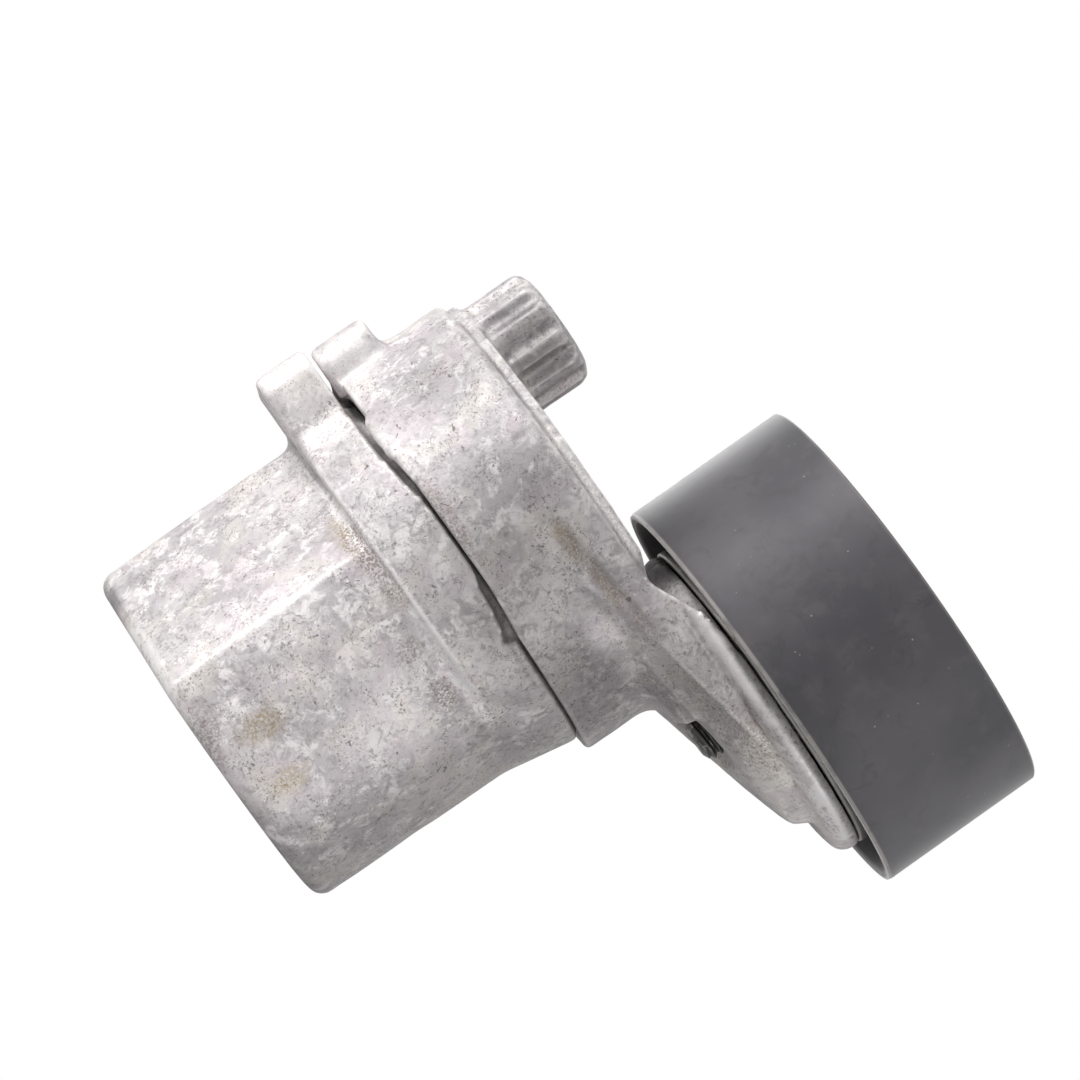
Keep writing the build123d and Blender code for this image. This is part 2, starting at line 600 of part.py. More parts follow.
def pulley_bolt():
    head_rear = FRONT_SHIELD_FRONT
    shank = turned([
        (0, BOLT_TIP), (BOLT_CORE_RADIUS - 0.6, BOLT_TIP), (BOLT_CORE_RADIUS, BOLT_TIP + 0.6),
        (BOLT_CORE_RADIUS, SPOTFACE_FLOOR + 0.3), (BOLT_RADIUS, SPOTFACE_FLOOR + 1.0),
        (BOLT_RADIUS, head_rear), (BOLT_FLANGE_RADIUS, head_rear),
        (BOLT_FLANGE_RADIUS, head_rear + 0.8), (BOLT_FLANGE_RADIUS - 2.2, head_rear + 1.6),
        (0, head_rear + 1.6),
    ])
    hexagon = extrude(RegularPolygon(BOLT_HEX_AF / 2, 6, major_radius=False), 5.4)
    hexagon = Pos(0, 0, head_rear) * hexagon
    crown = turned([
        (0, head_rear), (9, head_rear), (9, head_rear + 4.0), (6.1, head_rear + 5.4),
        (0, head_rear + 5.4),
    ])
    return at_pulley(shank + (hexagon & crown))


# ---- build and write every piece ----
pieces = {
    "base_housing": base_housing(),
    "pivot_shaft": pivot_shaft(),
    "front_plate": front_plate(),
    "torsion_spring": torsion_spring(),
    "tension_arm": tension_arm(),
    "rear_bushing": rear_bushing(),
    "front_bushing": front_bushing(),
    "thrust_washer": thrust_washer(),
    "spring_sleeve": spring_sleeve(),
    "damper_lining": damper_ring(LINING_RADIUS, COLLAR_RADIUS + LINING_GAP),
    "damper_band": damper_ring(BAND_RADIUS, LINING_RADIUS),
    "rear_shield": rear_shield(),
    "bearing_inner_race": race(INNER_RACE_RADIUS, BEARING_BORE),
    "bearing_outer_race": race(BEARING_RADIUS, OUTER_RACE_RADIUS),
    "bearing_balls": bearing_balls(),
    "bearing_cage": bearing_cage(),
    "bearing_seal_rear": bearing_seal(BEARING_REAR + SEAL_INSET),
    "bearing_seal_front": bearing_seal(BEARING_FRONT - SEAL_INSET - SEAL_THICKNESS),
    "pulley_shell": pulley_shell(),
    "retaining_ring": retaining_ring(),
    "bearing_spacer": bearing_spacer(),
    "front_shield": front_shield(),
    "pulley_bolt": pulley_bolt(),
}

os.makedirs("parts", exist_ok=True)
for name, shape in pieces.items():
    export_step(shape, f"parts/{name}.step")
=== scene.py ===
import bpy
import json
import math
import numpy as np
from mathutils import Matrix, Vector


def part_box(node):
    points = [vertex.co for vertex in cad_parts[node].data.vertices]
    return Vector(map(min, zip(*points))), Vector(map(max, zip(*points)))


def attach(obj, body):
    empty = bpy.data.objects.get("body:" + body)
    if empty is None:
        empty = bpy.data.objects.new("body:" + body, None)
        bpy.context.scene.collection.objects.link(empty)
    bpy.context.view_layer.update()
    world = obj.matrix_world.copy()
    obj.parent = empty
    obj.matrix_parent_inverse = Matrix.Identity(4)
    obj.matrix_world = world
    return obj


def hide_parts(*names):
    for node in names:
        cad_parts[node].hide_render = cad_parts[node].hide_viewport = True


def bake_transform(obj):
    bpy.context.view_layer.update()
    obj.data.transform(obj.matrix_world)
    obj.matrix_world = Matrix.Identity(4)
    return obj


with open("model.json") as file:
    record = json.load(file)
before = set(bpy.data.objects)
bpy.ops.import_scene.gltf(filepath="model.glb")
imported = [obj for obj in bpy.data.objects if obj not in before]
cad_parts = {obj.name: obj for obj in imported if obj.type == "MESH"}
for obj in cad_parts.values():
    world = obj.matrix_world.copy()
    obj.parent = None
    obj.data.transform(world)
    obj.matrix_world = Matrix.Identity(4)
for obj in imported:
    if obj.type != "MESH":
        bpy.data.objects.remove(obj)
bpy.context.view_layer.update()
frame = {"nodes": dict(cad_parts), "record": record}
nodes = frame["nodes"]
mounts = {mount["name"]: mount for mount in frame["record"]["mounts"]}

# Lengths in this file are millimetres in the frame of the part: Z runs along the pivot axis,
# and +X from the pivot to the pulley.
MM = 0.001
AROUND = 240                      # segments round a turned piece
CAST_VOXEL = 0.5                  # grid that the castings are rebuilt on
CAST_ROUNDS = 8                   # smoothing rounds that soften a casting's edges
TURN = 2 * math.pi


def span(node):
    """Lowest and highest corner of a CAD node."""
    low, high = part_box(node)
    return np.array(low) / MM, np.array(high) / MM


def half_width(node):
    """Radius of a round node, which is half of its X width."""
    low, high = span(node)
    return (high[0] - low[0]) / 2


# ---- places read from the frame ----
shell_low, shell_high = span("pulley_shell")
PULLEY_RADIUS = half_width("pulley_shell")
PULLEY_X = (shell_high[0] + shell_low[0]) / 2
PULLEY_REAR, PULLEY_FRONT = shell_low[2], shell_high[2]
race_low, race_high = span("bearing_outer_race")
BEARING_RADIUS = half_width("bearing_outer_race")
BEARING_REAR, BEARING_FRONT = race_low[2], race_high[2]
BEARING_MIDDLE = (BEARING_REAR + BEARING_FRONT) / 2
INNER_RACE_RADIUS = half_width("bearing_inner_race")
BOSS_X, BOSS_Y = (length / MM for length in mounts["wrench_boss"]["pos_m"][:2])

SHIELD_BORE = 4.1                 # clears the screw

# ---- places on the castings that no node's box gives ----
BODY_RIDGE_X = -9.8               # where the round body turns flat
FLANGE_REAR = 37.7
EAR_ROOT_X, EAR_ROOT_Z = -31.6, 36.8
LUG_ROOT_X, LUG_ROOT_Z = -35.2, 57.5
LOCK_DRAFT_X = -31.5              # beyond this the ear's face slopes, and 2 mm on the lug's
EAR_NEAR_Y, LUG_NEAR_Y = -15.7, -12.0
EAR_DRAFT, LUG_DRAFT = 0.018, 0.045   # slope of the facing sides towards the far side
CUP_SIDE = 33.2                   # radius from which the cup's outer skin counts
BAND_GROOVE_Z = 69.1
DISC_GROOVE_Z, DISC_BEAD_Z = 70.3, 72.4
# A line along the beam is (Z at X = 0, rise per millimetre of X).
BEAM_VALLEY = (61.3, 0.147)
BEAM_RIDGE = (58.6, 0.17)
BEAM_CREASE = (64.1, -0.23)
FLASH_LINES = ((58.4, 0.13), (59.6, 0.20))


# ---- numbers that look random and are the same each run ----
def lattice(ix, iy, iz, seed):
    """A value from 0 to 1 for each whole-number point."""
    h = (ix * 374761393 + iy * 668265263 + iz * 2147483647 + seed * 974711) & 0xFFFFFFFF
    h = ((h ^ (h >> 13)) * 1274126177) & 0xFFFFFFFF
    return ((h ^ (h >> 16)) & 0xFFFF) / 65535.0


def value_noise(points, size, seed):
    """Smooth noise from -1 to 1 with features of the given size."""
    scaled = points / size + 100.0
    cell = np.floor(scaled).astype(np.int64)
    part = scaled - cell
    part = part * part * (3 - 2 * part)
    total = np.zeros(len(points))
    for corner in range(8):
        step = np.array([corner & 1, corner >> 1 & 1, corner >> 2 & 1])
        weight = np.prod(np.where(step == 1, part, 1 - part), axis=1)
        where = cell + step
        total += weight * lattice(where[:, 0], where[:, 1], where[:, 2], seed)
    return 2 * total - 1


def layered_noise(points, size, seed, layers):
    """Value noise with finer and weaker layers on top."""
    total = np.zeros(len(points))
    for layer in range(layers):
        total += value_noise(points, size / 2 ** layer, seed + layer) / 2 ** layer
    return total


# ---- smooth masks from 0 to 1 ----
def rise(value, start, end):
    """0 before start, 1 after end, and a smooth step between them."""
    t = np.clip((value - start) / (end - start), 0, 1)
    return t * t * (3 - 2 * t)


def fade(value, start, end):
    """1 before start, 0 after end, and a smooth step between them."""
    return rise(-value, -end, -start)


def bell(value, centre, width):
    """1 at the centre, falling to 0 on both sides of it."""
    return np.exp(-((value - centre) / width) ** 2)


def on_line(line, x):
    """Z of a line along the beam at each x."""
    return line[0] + line[1] * x


# ---- mesh helpers ----
def put(name, data):
    """Places a mesh, a light or a camera in the scene."""
    thing = bpy.data.objects.new(name, data)
    bpy.context.scene.collection.objects.link(thing)
    return thing


def make_mesh(name, points, faces):
    mesh = bpy.data.meshes.new(name)
    mesh.from_pydata((np.asarray(points) * MM).tolist(), [], faces)
    mesh.validate()
    mesh.update()
    return mesh


def smooth_by_angle(mesh, degrees):
    mesh.shade_smooth()
    mesh.set_sharp_from_angle(angle=math.radians(degrees))


def applied(piece):
    """Bakes a piece's modifiers into its mesh."""
    graph = bpy.context.evaluated_depsgraph_get()
    piece.data = bpy.data.meshes.new_from_object(piece.evaluated_get(graph))
    piece.modifiers.clear()
    return piece


def get_points(mesh):
    flat = np.zeros(len(mesh.vertices) * 3)
    mesh.vertices.foreach_get("co", flat)
    return flat.reshape(-1, 3) / MM


def set_points(mesh, points):
    mesh.vertices.foreach_set("co", (points * MM).ravel())
    mesh.update()


def get_normals(mesh):
    flat = np.zeros(len(mesh.vertices) * 3)
    mesh.vertex_normals.foreach_get("vector", flat)
    return flat.reshape(-1, 3)


def get_edges(mesh):
    flat = np.zeros(len(mesh.edges) * 2, dtype=np.int64)
    mesh.edges.foreach_get("vertices", flat)
    return flat.reshape(-1, 2)


def soften(points, edges, weight, rounds, push=0.0):
    """Moves each point towards its neighbours, and with push back again so that it doesn't shrink."""
    count = len(points)
    ends = np.concatenate([edges, edges[:, ::-1]])
    degree = np.maximum(np.bincount(ends[:, 0], minlength=count), 1)
    factors = (0.5, -push) if push else (0.5,)
    for _ in range(rounds):
        for factor in factors:
            for axis in range(3):
                mean = np.bincount(ends[:, 0], points[ends[:, 1], axis], count) / degree
                points[:, axis] += weight * factor * (mean - points[:, axis])
    return points


# ---- outlines of turned pieces: closed loops of (radius, z) ----
def rounded(corners, radius):
    """The outline with each corner rounded as far as its sides allow."""
    out = []
    count = len(corners)
    for i in range(count):
        before, here, after = (np.array(corners[(i + k) % count], float) for k in (-1, 0, 1))
        back, ahead = before - here, after - here
        size = min(radius, 0.45 * np.linalg.norm(back), 0.45 * np.linalg.norm(ahead))
        a = here + back / np.linalg.norm(back) * size
        b = here + ahead / np.linalg.norm(ahead) * size
        for t in np.linspace(0, 1, 5):
            out.append((1 - t) ** 2 * a + 2 * t * (1 - t) * here + t * t * b)
    return out


def bend(corner, first, second, radius, steps=6):
    """Quarter bend at a corner, from the side that first points to, to the one that second does."""
    corner, first, second = (np.array(v, float) for v in (corner, first, second))
    centre = corner + radius * (first + second)
    turns = np.linspace(0, math.pi / 2, steps)
    return [tuple(centre - radius * (second * math.cos(t) + first * math.sin(t))) for t in turns]


def turned(name, outline, x=0.0, around=AROUND, shape=None, sharp=50):
    """Turned piece on the axis at x; shape may change the radius by angle, and edges that bend by
    more than sharp degrees stay crisp."""
    rings = len(outline)
    angles = np.arange(around) * TURN / around
    points = []
    for r, z in outline:
        radii = np.full(around, r) if shape is None else shape(r, z, angles)
        points.append(np.stack([x + radii * np.cos(angles), radii * np.sin(angles),
                                np.full(around, z)], axis=1))
    faces = []
    for i in range(rings):
        j = (i + 1) % rings
        for k in range(around):
            m = (k + 1) % around
            faces.append((i * around + k, i * around + m, j * around + m, j * around + k))
    mesh = make_mesh(name, np.concatenate(points), faces)
    smooth_by_angle(mesh, sharp)
    piece = put(name, mesh)
    outward = sum(f.normal.dot(Vector((f.center.x - x * MM, f.center.y, 0))) * f.area
                  for f in mesh.polygons)
    if outward < 0:
        mesh.flip_normals()
    return piece


# ---- node material helpers ----
class Graph:
    """Short way to write a node tree. Values may be numbers, colours or sockets."""

    def __init__(self, tree):
        self.tree = tree

    def add(self, kind, settings=None, **inputs):
        node = self.tree.nodes.new(kind)
        for key, value in (settings or {}).items():
            setattr(node, key, value)
        for key, value in inputs.items():
            self.feed(node.inputs[key.replace("_", " ")], value)
        return node

    def feed(self, socket, value):
        if isinstance(value, bpy.types.NodeSocket):
            self.tree.links.new(value, socket)
        elif isinstance(value, tuple) and len(value) == 3 and socket.type == "RGBA":
            socket.default_value = (*value, 1)
        else:
            socket.default_value = value

    def set(self, shader, **inputs):
        """Feeds a shader's inputs by their names, with _ for each space."""
        for key, value in inputs.items():
            self.feed(shader.inputs[key.replace("_", " ")], value)

    def math(self, operation, a, b=0.0):
        node = self.add("ShaderNodeMath", {"operation": operation})
        self.feed(node.inputs[0], a)
        self.feed(node.inputs[1], b)
        return node.outputs[0]

    def times(self, a, b):
        return self.math("MULTIPLY", a, b)

    def plus(self, a, b):
        return self.math("ADD", a, b)

    def minus(self, a, b):
        return self.math("SUBTRACT", a, b)

    def vector(self, operation, a, b):
        node = self.add("ShaderNodeVectorMath", {"operation": operation})
        self.feed(node.inputs[0], a)
        self.feed(node.inputs[1], b)
        return node.outputs["Value" if operation == "DOT_PRODUCT" else "Vector"]

    def length(self, a):
        node = self.add("ShaderNodeVectorMath", {"operation": "LENGTH"})
        self.feed(node.inputs[0], a)
        return node.outputs["Value"]

    def step(self, value, low, high, start=0.0, end=1.0):
        """Smooth step from start to end as the value goes from low to high."""
        node = self.add("ShaderNodeMapRange", {"interpolation_type": "SMOOTHSTEP"})
        for key, v in zip(("Value", "From Min", "From Max", "To Min", "To Max"),
                          (value, low, high, start, end)):
            self.feed(node.inputs[key], v)
        return node.outputs[0]

    def mix(self, factor, a, b, blend="MIX"):
        node = self.add("ShaderNodeMix", {"data_type": "RGBA", "blend_type": blend})
        self.feed(node.inputs["Factor"], factor)
        self.feed(node.inputs[6], a)
        self.feed(node.inputs[7], b)
        return node.outputs[2]

    def dab(self, colour, noise, low, high, strength, tone):
        """The colour with a tone laid on where the noise is high."""
        return self.mix(self.step(noise, low, high, 0.0, strength), colour, tone)

    def noise(self, place, size, detail=2.0, roughness=0.5, distortion=0.0):
        node = self.add("ShaderNodeTexNoise", Vector=place, Scale=1.0 / size, Detail=detail,
                        Roughness=roughness, Distortion=distortion)
        return node.outputs["Fac"]

    def specks(self, place, size):
        """Distance to the nearest of many scattered points."""
        return self.add("ShaderNodeTexVoronoi", Vector=place, Scale=1.0 / size).outputs["Distance"]

    def place(self, stretch=(1, 1, 1)):
        """Object coordinates in millimetres."""
        coordinate = self.add("ShaderNodeTexCoord").outputs["Object"]
        return self.vector("MULTIPLY", coordinate, tuple(s / MM for s in stretch))

    def part_of(self, vector, axis):
        return self.add("ShaderNodeSeparateXYZ", Vector=vector).outputs[axis]

    def geometry(self, output):
        return self.add("ShaderNodeNewGeometry").outputs[output]

    def camera_ray(self):
        """1 for what the camera sees, 0 for what lights the part."""
        return self.add("ShaderNodeLightPath").outputs["Is Camera Ray"]

    def bump(self, height, depth, strength):
        node = self.add("ShaderNodeBump", Height=height, Distance=depth * MM, Strength=strength)
        return node.outputs[0]

    def near(self, place, centre, radii):
        """1 at a place, falling to 0 at an ellipsoid round it."""
        scaled = self.vector("DIVIDE", self.vector("SUBTRACT", place, centre), radii)
        return self.step(self.length(scaled), 0.3, 1.0, 1.0, 0.0)

    def choose(self, factor, first, second, output):
        """Sends a blend of two shaders to the tree's output."""
        node = self.add("ShaderNodeMixShader", Fac=factor)
        self.feed(node.inputs[1], first)
        self.feed(node.inputs[2], second)
        self.tree.links.new(node.outputs[0], self.tree.nodes[output].inputs[0])


def new_material(name):
    """A material with an empty Principled shader, and its graph."""
    material = bpy.data.materials.new(name)
    material.use_nodes = True
    graph = Graph(material.node_tree)
    return material, graph, material.node_tree.nodes["Principled BSDF"]


# ---- cast aluminium ----
# Tones of the oxidised skin, and the painted shade of its hollows.
ASH = (0.375, 0.352, 0.362)
PEWTER = (0.53, 0.505, 0.505)
CHALK = (0.70, 0.67, 0.67)
SLATE = (0.270, 0.245, 0.255)
SHADE = (0.265, 0.240, 0.248)
MAUVE = (0.46, 0.405, 0.43)
CREAM = (0.56, 0.53, 0.48)
DARK_GRAIN = (0.155, 0.132, 0.130)
LIGHT_GRAIN = (0.84, 0.815, 0.805)
PIT = (0.085, 0.070, 0.068)
WORN = (0.80, 0.765, 0.750)
HOLLOW_PAINTED_SHADE = (0.125, 0.100, 0.093)
PALEST = (0.90, 0.88, 0.88)
# Colours of the stains, and of painted light and painted shade.
OCHRE = (0.42, 0.33, 0.20)
GOLD = (0.50, 0.38, 0.20)
BROWN = (0.20, 0.165, 0.135)
PAINTED_LIGHT = (0.86, 0.83, 0.82)
PAINTED_SHADE = (0.030, 0.027, 0.027)

# Painted light: each facet, the way it faces, and how much lighter it is painted.
HOUSING_LIT_FACETS = [((-0.81, -0.59, 0.0), 1.30), ((-0.81, 0.59, 0.0), 1.30)]
# Painted light and shade: each patch has a centre, radii, and how much lighter or darker the skin is
# painted there.
HOUSING_PAINTED_LIGHT_AND_SHADE = [
    ((-36, -14, 42), (14, 20, 12), 1.50),            # ear and flange beside it
    ((-21, -25, 42), (9, 14, 7), 0.76),
    ((-41.5, -8, 42), (4, 16, 7), 0.74),             # the ear's outer face
    ((-20, -26, 37.1), (18, 16, 1.8), 1.9),          # the step behind the flange
    ((14, -30, 37.1), (22, 16, 1.8), 1.50),
    ((22, -27, 43), (12, 14, 7), 1.2),
    ((10, -30, 15), (30, 16, 36), 1.50),             # the round side
    ((16, -28, 46), (18, 14, 9), 0.68),
    ((-14, -20, 0.6), (24, 18, 2.2), 1.80),          # the rear edge
    ((0, -31, 37.9), (34, 14, 1.1), 1.35),
]
# Painted light and shade on the arm.
ARM_PAINTED_LIGHT_AND_SHADE = [
    ((-38, -10, 53), (20, 24, 22), 1.36),            # lug and cup beside it
    ((22, -31, 58.6), (7, 12, 3.4), 1.40),
    ((-40.5, -6, 52), (4, 16, 7), 0.76),             # the lug's outer face
    ((24, -28, 63), (14, 16, 4.5), 1.25),
    ((-22, -27, 63), (9, 14, 12), 0.84),
    ((12, -30, 56), (32, 26, 22), 0.83),             # the cup's lower side
    ((28, -26, 51), (16, 26, 10), 0.72),
    ((33, -26, 66), (10, 20, 6), 0.84),              # the beam
    ((62, -14, 70), (24, 22, 9), 1.60),
    ((BOSS_X, -20, 76), (13, 10, 8), 0.58),
]
# Stains, and patches of painted light and shade; each has a centre, radii, colour, strength, and how
# much of it shows between its grains.
HOUSING_STAINS_AND_PAINTED_LIGHT = [
    ((-10, -28.5, 17), (1.0, 4, 30), PAINTED_LIGHT, 0.55, 0.3),         # painted highlight along the body's ridge
    ((-15, -29, 35.4), (7, 12, 2.6), GOLD, 0.80, 0.10),          # behind the flange
    ((-12, -29, 36.2), (9, 12, 3.0), BROWN, 0.75, 0.06),
    ((-4, -31, 36.4), (8, 10, 2.4), BROWN, 0.55, 0.10),
    ((3, -31, 9.0), (3.6, 12, 5.5), OCHRE, 0.80, 0.25),          # near the rear edge
    ((12, -28, 8.0), (3.0, 12, 4.5), GOLD, 0.60, 0.18),
    ((-1, -31, 1.0), (6, 10, 5.0), BROWN, 0.55, 0.15),
    ((15, -28, 34.0), (4.5, 12, 3.0), BROWN, 0.75, 0.08),
    ((6.5, -30, 33.2), (3.4, 12, 3.4), BROWN, 0.55, 0.08),
    ((-37, -17, 42), (6, 8, 6), PAINTED_LIGHT, 0.40, 0.3),              # painted light on the ear
    ((-28.5, -13.5, 48.1), (6.5, 12, 1.5), PAINTED_SHADE, 0.95, 1.0),     # painted shade in the gap beside it
]
ARM_STAINS_AND_PAINTED_LIGHT = [
    ((7, -34, 62.1), (6, 12, 1.9), BROWN, 0.90, 0.50),           # a streak down the cup
    ((15, -33, 63.2), (8, 12, 1.7), BROWN, 0.90, 0.50),
    ((5, -34, 69.6), (22, 8, 0.8), PAINTED_LIGHT, 0.85, 0.5),           # painted highlight along the cup's front edge
    # painted light on the lug
    ((-36.5, -14, 52.4), (7, 8, 6.5), PAINTED_LIGHT, 0.80, 0.7),        # the lug
    ((24, -31, 64.6), (8, 12, 1.5), BROWN, 0.60, 0.40),
    ((4.6, -34, 61.7), (2.4, 12, 1.3), OCHRE, 0.32, 0.20),
    ((-5.5, -34, 49.3), (11, 12, 2.2), BROWN, 0.65, 0.20),
    ((44, -24, 67), (20, 12, 5), BROWN, 0.40, 0.05),             # the beam
    # painted highlight on the disc's bead
    ((36, -29, 71.9), (15, 8, 1.5), PAINTED_LIGHT, 0.90, 0.8),
    ((50, -22, 69.0), (10, 10, 3.0), OCHRE, 0.20, 0.1),
    ((18, -6, 73.2), (6.5, 24, 4.0), PAINTED_SHADE, 0.98, 1.0),           # painted shade in the notch under the drum
]


def mottled_skin(g, here, clouds, patches, blotches, tint):
    """The skin's broad colours, from its largest clouds to its small blotches."""
    colour = g.mix(g.step(clouds, 0.36, 0.64), ASH, PEWTER)
    colour = g.dab(colour, patches, 0.48, 0.62, 0.75, CHALK)
    streaks = g.noise(here, 2.4, 4.0, 0.72, 1.2)
    colour = g.dab(colour, streaks, 0.50, 0.62, 0.62, SLATE)
    colour = g.dab(colour, blotches, 0.52, 0.66, 0.50, SHADE)
    colour = g.dab(colour, tint, 0.46, 0.64, 0.45, MAUVE)
    cream = g.noise(here, 10.0, 4.0, 0.6, 0.3)
    return g.dab(colour, cream, 0.50, 0.62, 0.42, CREAM)


def grainy_skin(g, here, colour, grain):
    """Dark and light grains, which lie in loose clusters."""
    clusters = g.step(g.noise(here, 5.0, 4.0, 0.68), 0.43, 0.58, 0.08, 1.0)
    dark_grains = g.times(g.step(grain, 0.54, 0.63, 0.0, 0.80), clusters)
    colour = g.mix(dark_grains, colour, DARK_GRAIN)
    light_grains = g.step(g.noise(here, 0.6, 3.0, 0.65), 0.60, 0.72, 0.0, 0.50)
    return g.mix(g.times(light_grains, clusters), colour, LIGHT_GRAIN)


def cast_aluminium(name, stains_and_painted_light, painted_light_and_shade, lit_facets, seed):
    """Oxidised die-cast skin: mottled, grainy and rubbed on the edges, with painted shade in its
    corners and patches of painted light and shade.
    """
    material, g, shader = new_material(name)
    plain = g.place()
    here = g.vector("ADD", plain, (seed * 37.0, seed * 11.0, seed * 5.0))
    clouds = g.noise(here, 15.0, 3.0, 0.55)
    patches = g.noise(here, 3.6, 5.0, 0.66, 0.5)
    blotches = g.noise(here, 1.25, 4.0, 0.68, 0.4)
    grain = g.noise(here, 0.45, 3.0, 0.72, 0.3)
    tint = g.noise(here, 7.0, 3.0)
    colour = mottled_skin(g, here, clouds, patches, blotches, tint)
    colour = grainy_skin(g, here, colour, grain)
    pits = g.step(g.noise(here, 0.95, 1.0, 0.5, 0.8), 0.715, 0.745)
    pits = g.times(pits, g.step(tint, 0.48, 0.58, 0.35, 1.0))
    colour = g.mix(g.times(pits, 0.70), colour, PIT)

    edge = g.geometry("Pointiness")
    worn = g.times(g.step(edge, 0.512, 0.55), g.step(patches, 0.32, 0.55, 0.30, 0.95))
    colour = g.mix(worn, colour, WORN)
    # Painted shade in the hollows and inner corners, where the pointiness is low.
    colour = g.mix(g.step(edge, 0.42, 0.475, 0.40, 0.0), colour, HOLLOW_PAINTED_SHADE)

    facing = g.geometry("Normal")
    # Painted light: facets that face the light are painted lighter.
    for direction, tone in lit_facets:
        mask = g.step(g.vector("DOT_PRODUCT", facing, direction), 0.90, 0.97)
        colour = g.mix(mask, colour, (tone, tone, tone), "MULTIPLY")
    # Painted light and shade: patches of the skin painted lighter or darker.
    for centre, radii, tone in painted_light_and_shade:
        colour = g.mix(g.near(plain, centre, radii), colour, (tone, tone, tone), "MULTIPLY")
    colour = g.mix(1.0, colour, PALEST, "DARKEN")
    sand = g.noise(here, 0.40, 2.0, 0.7)
    # Stains, with painted highlights, painted light and painted shade among them.
    for centre, radii, overlay, strength, between in stains_and_painted_light:
        broken = g.times(g.near(plain, centre, radii), g.step(sand, 0.47, 0.56, between, 1.0))
        colour = g.mix(g.times(broken, strength), colour, overlay)

    rough = g.minus(g.step(patches, 0.3, 0.7, 0.46, 0.64), g.times(worn, 0.12))
    height = g.plus(g.times(grain, 0.45), blotches)
    height = g.minus(height, g.times(pits, 1.3))
    g.set(shader, Base_Color=colour, Metallic=0.45, Roughness=rough,
          Normal=g.bump(height, 0.10, 0.62))
    return material


# ---- other finishes ----
def coated_steel():
    """Dark satin coating of the pulley, with smudges, dust and rims rubbed to a paler grey."""
    material, g, shader = new_material("pulley_coating")
    here = g.place()
    soft = g.noise(here, 4.0, 4.0, 0.6)
    clouds = g.step(g.noise(here, 16.0, 3.0, 0.5), 0.35, 0.68)
    colour = g.mix(clouds, (0.056, 0.053, 0.060), (0.078, 0.073, 0.080))
    colour = g.dab(colour, soft, 0.50, 0.70, 0.42, (0.098, 0.091, 0.096))
    dust = g.step(g.specks(here, 2.3), 0.035, 0.085, 1.0, 0.0)
    dust = g.times(dust, g.step(g.noise(here, 9.0, 2.0), 0.49, 0.57))
    colour = g.mix(g.times(dust, 0.60), colour, (0.42, 0.39, 0.36))
    smudges = g.noise(here, 5.5, 5.0, 0.7, 1.0)
    colour = g.dab(colour, smudges, 0.52, 0.66, 0.40, (0.040, 0.038, 0.042))

    z = g.part_of(here, "Z")
    rims = g.math("MAXIMUM", g.step(z, PULLEY_REAR + 0.35, PULLEY_REAR + 0.75, 1.0, 0.0),
                  g.step(z, PULLEY_FRONT - 0.5, PULLEY_FRONT - 0.2, 0.0, 0.45))
    worn = g.math("MAXIMUM", g.step(g.geometry("Pointiness"), 0.53, 0.60), rims)
    worn = g.times(worn, g.step(soft, 0.35, 0.55, 0.45, 1.0))
    colour = g.mix(worn, colour, (0.27, 0.25, 0.24))

    rings = g.noise(g.place((0.25, 0.25, 6.0)), 1.2, 3.0, 0.6)
    rough = g.plus(g.step(soft, 0.3, 0.7, 0.54, 0.60), g.times(rings, 0.04))
    height = g.plus(g.times(g.noise(here, 0.25, 2.0, 0.6), 0.5), g.times(rings, 0.6))
    g.set(shader, Base_Color=colour, Metallic=0.25, Roughness=rough, Coat_Weight=0.08,
          Coat_Roughness=0.45, Sheen_Weight=0.9, Sheen_Roughness=0.30,
          Normal=g.bump(height, 0.02, 0.35))
    return material


def steel(name, dark, light, rust, roughness, ring_marks):
    """Bare or plated steel with turning marks, tarnish and worn edges, and painted shade in its
    hollows.
    """
    material, g, shader = new_material(name)
    here = g.place()
    clouds = g.noise(here, 5.0, 4.0, 0.6)
    fine = g.noise(here, 0.5, 3.0, 0.6)
    marks = g.noise(g.place((0.3, 0.3, 5.0)), 0.8, 3.0, 0.6)
    colour = g.mix(g.step(clouds, 0.35, 0.65), dark, light)
    overlay = g.times(g.step(fine, 0.52, 0.68), g.step(clouds, 0.50, 0.62, 0.0, 0.6))
    colour = g.mix(overlay, colour, rust)
    edge = g.geometry("Pointiness")
    colour = g.dab(colour, edge, 0.53, 0.62, 0.6, (0.72, 0.70, 0.68))
    # Painted shade in the hollows, where the pointiness is low.
    colour = g.mix(g.step(edge, 0.38, 0.47, 0.6, 0.0), colour, (0.06, 0.05, 0.045))
    height = g.plus(g.times(fine, 0.5), g.times(marks, ring_marks))
    g.set(shader, Base_Color=colour, Metallic=0.85,
          Roughness=g.step(clouds, 0.3, 0.7, roughness, roughness + 0.16),
          Normal=g.bump(height, 0.025, 0.4))
    return material


def moulded(name, dark, light, roughness, fibre):
    """Moulded polymer or rubber with a fine matt texture and flow marks."""
    material, g, shader = new_material(name)
    here = g.place()
    clouds = g.noise(here, 4.0, 3.0, 0.6)
    texture = g.noise(here, 0.3, 3.0, 0.65)
    flow = g.noise(g.place((1.0, 1.0, fibre)), 1.6, 3.0, 0.6)
    colour = g.mix(g.step(clouds, 0.35, 0.65), dark, light)
    dusty = g.times(g.step(texture, 0.55, 0.70), 0.35)
    colour = g.mix(dusty, colour, tuple(min(1.0, c * 2.2) for c in light))
    g.set(shader, Base_Color=colour,
          Roughness=g.step(flow, 0.3, 0.7, roughness - 0.06, roughness + 0.08),
          Normal=g.bump(g.plus(texture, g.times(flow, 0.6)), 0.03, 0.4))
    return material


